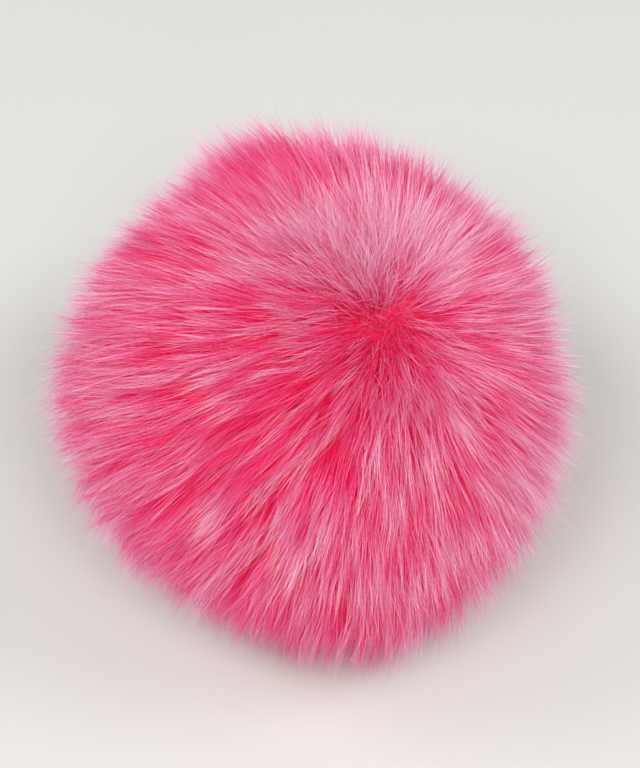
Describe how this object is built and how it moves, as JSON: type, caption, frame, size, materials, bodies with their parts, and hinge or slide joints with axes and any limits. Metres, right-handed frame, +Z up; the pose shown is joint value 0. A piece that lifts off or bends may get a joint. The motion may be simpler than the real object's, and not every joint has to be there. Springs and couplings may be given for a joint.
{
  "type": "pom pom",
  "caption": "Round, fluffy hot-pink pom pom of long faux-fur pile combed out from a whorl near the top, resting on a small flat spot.",
  "frame": {"origin": "middle of the flat patch that the ball rests on, under the centre of the ball", "axes": "+Z up; +X to the right and -Y towards the viewer of the side that shows the whorl"},
  "size_m": [0.1026, 0.1022, 0.0897],
  "materials": {
    "faux_fur": "soft long pile"
  },
  "bodies": {
    "root": {"fur_ball": "faux_fur"}
  },
  "joints": []
}
